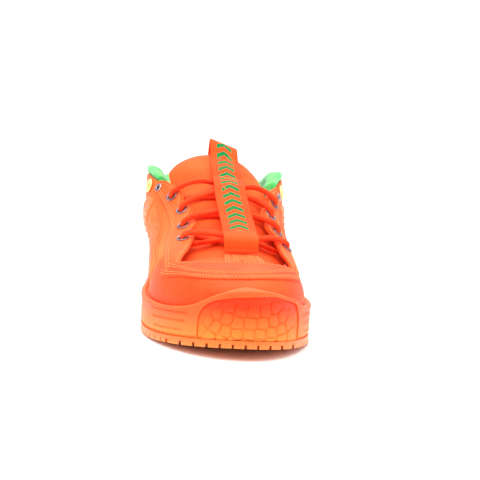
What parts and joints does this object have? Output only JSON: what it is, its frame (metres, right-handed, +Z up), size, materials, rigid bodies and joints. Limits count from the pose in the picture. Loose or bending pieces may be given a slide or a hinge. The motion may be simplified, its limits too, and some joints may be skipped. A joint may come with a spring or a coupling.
{
  "type": "lace-up court shoe",
  "caption": "Right-foot low-cut cupsole court shoe with a laced throat, padded tongue, webbing pull strap and loop, and padded collar.",
  "frame": {"origin": "centre of the bounding box's underside, on the ground under the tread", "axes": "+Y from toe to heel along the outsole, +X towards the medial (inner) side, +Z up"},
  "size_m": [0.1086, 0.3, 0.1161],
  "materials": {
    "outsole_rubber": "translucent gum-orange rubber, satin",
    "cupsole_rubber": "moulded orange rubber, satin",
    "bumper_rubber": "moulded orange rubber with a rounded cell relief",
    "foam": "closed-cell foam",
    "board": "nonwoven board",
    "sockliner_cloth": "green knit over foam",
    "upper_leather": "orange fine-grain nubuck",
    "overlay_leather": "orange smooth leather with stitched edges",
    "rib_film": "moulded ribbed film, pale orange",
    "stiffener": "fibre stiffener",
    "lining_cloth": "orange mesh lining",
    "terry_green": "bright green terry",
    "tongue_knit": "orange padded knit",
    "webbing": "orange woven webbing with a printed bar pattern",
    "lace_cord": "red-orange braided lace",
    "aglet_film": "clear shrink film",
    "eyelet_rim": "pale lilac-grey",
    "silver_ring": "bright nickel",
    "brass_grommet": "pale yellow enamel"
  },
  "bodies": {
    "shoe": {"outsole": "outsole_rubber", "cupsole": "cupsole_rubber", "toe_bumper": "bumper_rubber", "midsole": "foam", "strobel_board": "board", "sockliner": "sockliner_cloth", "vamp": "upper_leather", "toe_puff": "stiffener", "vamp_lining": "lining_cloth", "quarter_lateral": "upper_leather", "quarter_medial": "upper_leather", "quarter_lining_lateral": "lining_cloth", "quarter_lining_medial": "lining_cloth", "eyestay_lateral": "overlay_leather", "eyestay_medial": "overlay_leather", "side_overlay_lateral": "overlay_leather", "side_overlay_medial": "overlay_leather", "side_rib_panel_lateral": "rib_film", "side_rib_panel_medial": "rib_film", "heel_overlay": "overlay_leather", "heel_counter": "stiffener", "collar_padding": "foam", "collar_lining": "terry_green", "eyelets_lateral": "eyelet_rim", "eyelets_medial": "eyelet_rim", "top_rings": "silver_ring", "collar_grommets": "brass_grommet", "tongue_base": "tongue_knit", "strap_lower": "webbing", "lace_keeper": "webbing", "keeper_patch": "overlay_leather", "lace": "lace_cord", "aglets": "aglet_film"},
    "tongue_top": {"tongue_flap": "tongue_knit", "strap_upper": "webbing"},
    "loop": {"pull_loop": "webbing"}
  },
  "joints": [
    {"name": "tongue_flex", "type": "hinge", "parent": "shoe", "child": "tongue_top", "pos_m": [0, 0.004, 0.084], "axis": [1, 0, 0], "range_deg": [-6, 25], "stiffness_Nm_per_rad": 0.06},
    {"name": "loop_flip", "type": "hinge", "parent": "tongue_top", "child": "loop", "pos_m": [0, 0.038, 0.1], "axis": [1, 0, 0], "range_deg": [-18, 18], "stiffness_Nm_per_rad": 0.004}
  ]
}
